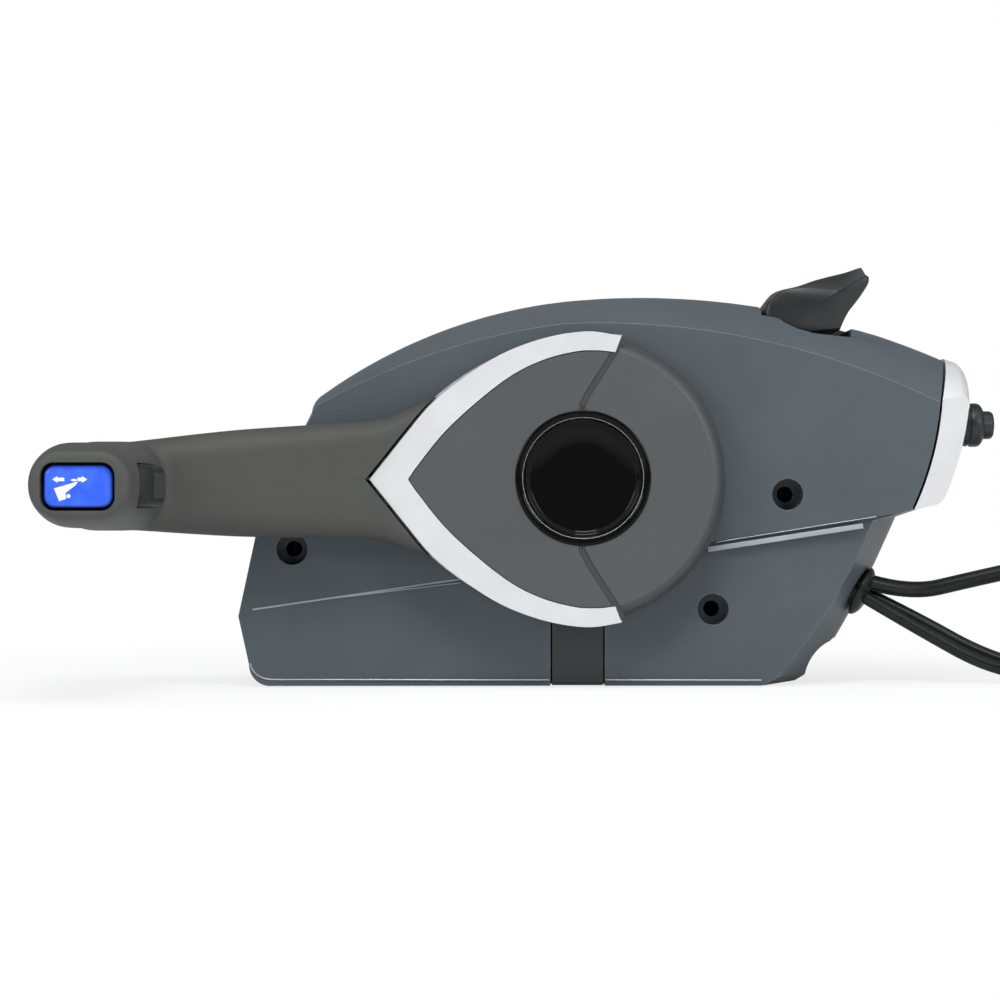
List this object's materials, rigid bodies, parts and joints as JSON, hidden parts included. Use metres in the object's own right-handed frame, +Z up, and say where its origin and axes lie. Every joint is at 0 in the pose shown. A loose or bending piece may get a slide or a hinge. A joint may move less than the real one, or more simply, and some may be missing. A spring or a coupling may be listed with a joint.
{
  "type": "boat throttle control lever",
  "caption": "Side-mount remote control box for an outboard engine, with a shift and throttle lever, trim rocker, stop switch and free-throttle lever.",
  "frame": {"origin": "centre of the bounding box's bottom, on the flat lower edge of the housing, cords left out", "axes": "+X aft along the box, +Y from the operator to the mounting face, +Z up"},
  "size_m": [0.5332, 0.259, 0.1694],
  "materials": {
    "housing_plastic": "semi-gloss moulded slate grey",
    "soft_touch": "matte soft-touch dark grey",
    "cover_plastic": "satin moulded grey",
    "silver_trim": "satin silver",
    "gloss_black": "high gloss black",
    "black_plastic": "fine-grained black",
    "blue_plastic": "satin blue",
    "cord_rubber": "smooth black sheath",
    "cast_alloy": "bead-blasted die casting",
    "steel": "zinc plated",
    "dark_steel": "black phosphated",
    "bronze": "sintered bearing bronze",
    "nylon": "natural nylon"
  },
  "bodies": {
    "housing": {"housing": "housing_plastic", "back_cover": "housing_plastic", "mounting_sleeves": "dark_steel", "cover_screws": "steel", "end_panel": "silver_trim", "stop_switch_body": "black_plastic", "stop_switch_collar": "black_plastic", "stop_spring": "steel", "key_switch_body": "black_plastic", "key_switch_nut": "steel", "friction_cover": "black_plastic", "friction_guide": "nylon", "shaft_bush": "bronze", "detent_plunger": "nylon", "arm_pins": "steel", "pin_washers": "steel", "neutral_switch": "black_plastic", "cable_anchor": "cast_alloy", "lock_plate": "steel", "cable_grommet": "cord_rubber", "harness_cord": "cord_rubber", "harness_coil": "cord_rubber", "harness_plug": "black_plastic", "sensor_lead_cord": "cord_rubber", "sensor_lead_coil": "cord_rubber", "sensor_lead_plug": "black_plastic", "power_lead_cord": "cord_rubber", "power_lead_coil": "cord_rubber", "power_lead_plug": "black_plastic"},
    "lever": {"lever_core": "cast_alloy", "lever_body": "soft_touch", "lever_screws": "steel", "lever_bolt": "steel", "main_shaft": "steel", "drive_gear": "steel", "detent_wheel": "steel", "silver_bezel": "silver_trim", "hub_front_cover": "cover_plastic", "hub_rear_cover": "cover_plastic", "cap_ring": "black_plastic", "hub_cap": "gloss_black", "trim_switch_body": "black_plastic", "trigger_spring": "steel"},
    "trigger": {"lock_trigger": "black_plastic", "lock_rod": "steel"},
    "rocker": {"trim_rocker": "blue_plastic"},
    "free_throttle": {"free_throttle_lever": "black_plastic", "free_throttle_shaft": "steel"},
    "stop_button": {"stop_button": "black_plastic"},
    "key": {"key_rotor": "steel"},
    "friction": {"friction_screw": "steel"},
    "shift": {"shift_arm": "cast_alloy"},
    "throttle": {"throttle_arm": "cast_alloy"}
  },
  "joints": [
    {"name": "control_lever", "type": "hinge", "parent": "housing", "child": "lever", "pos_m": [0.01765, 0.029, 0.083], "axis": [0, 1, 0], "range_deg": [0, 165]},
    {"name": "lock_trigger", "type": "slide", "parent": "lever", "child": "trigger", "axis": [-1, 0, 0], "range_m": [0, 0.006], "stiffness_N_per_m": 400, "springref_m": -0.004, "deforming": ["trigger_spring"]},
    {"name": "trim_rocker", "type": "hinge", "parent": "lever", "child": "rocker", "pos_m": [-0.16465, -0.0928, 0.0798], "axis": [0, 0, 1], "range_deg": [-8, 8], "stiffness_Nm_per_rad": 0.6},
    {"name": "free_throttle_lever", "type": "hinge", "parent": "housing", "child": "free_throttle", "pos_m": [0.10265, 0.063, 0.15], "axis": [0, -1, 0], "range_deg": [0, 55]},
    {"name": "stop_button", "type": "slide", "parent": "housing", "child": "stop_button", "axis": [-1, 0, 0], "range_m": [0, 0.0035], "stiffness_N_per_m": 900, "springref_m": -0.003, "deforming": ["stop_spring"]},
    {"name": "key_switch", "type": "hinge", "parent": "housing", "child": "key", "pos_m": [0.17165, 0.077, 0.1049], "axis": [1, 0, 0], "range_deg": [-90, 0]},
    {"name": "friction_screw", "type": "hinge", "parent": "housing", "child": "friction", "pos_m": [0.01615, 0.041, 0.0035], "axis": [0, 0, 1], "range_deg": [-180, 180]},
    {"name": "shift_arm", "type": "hinge", "parent": "housing", "child": "shift", "pos_m": [-0.0123, 0.055, 0.04549], "axis": [0, 1, 0], "range_deg": [-82.5, 0]},
    {"name": "throttle_arm", "type": "hinge", "parent": "housing", "child": "throttle", "pos_m": [0.06276, 0.055, 0.09942], "axis": [0, 1, 0], "range_deg": [-82.5, 0]}
  ],
  "couplings": [
    {"joint": "shift_arm", "follows": "control_lever", "ratio": -0.5},
    {"joint": "throttle_arm", "follows": "control_lever", "ratio": -0.5}
  ]
}
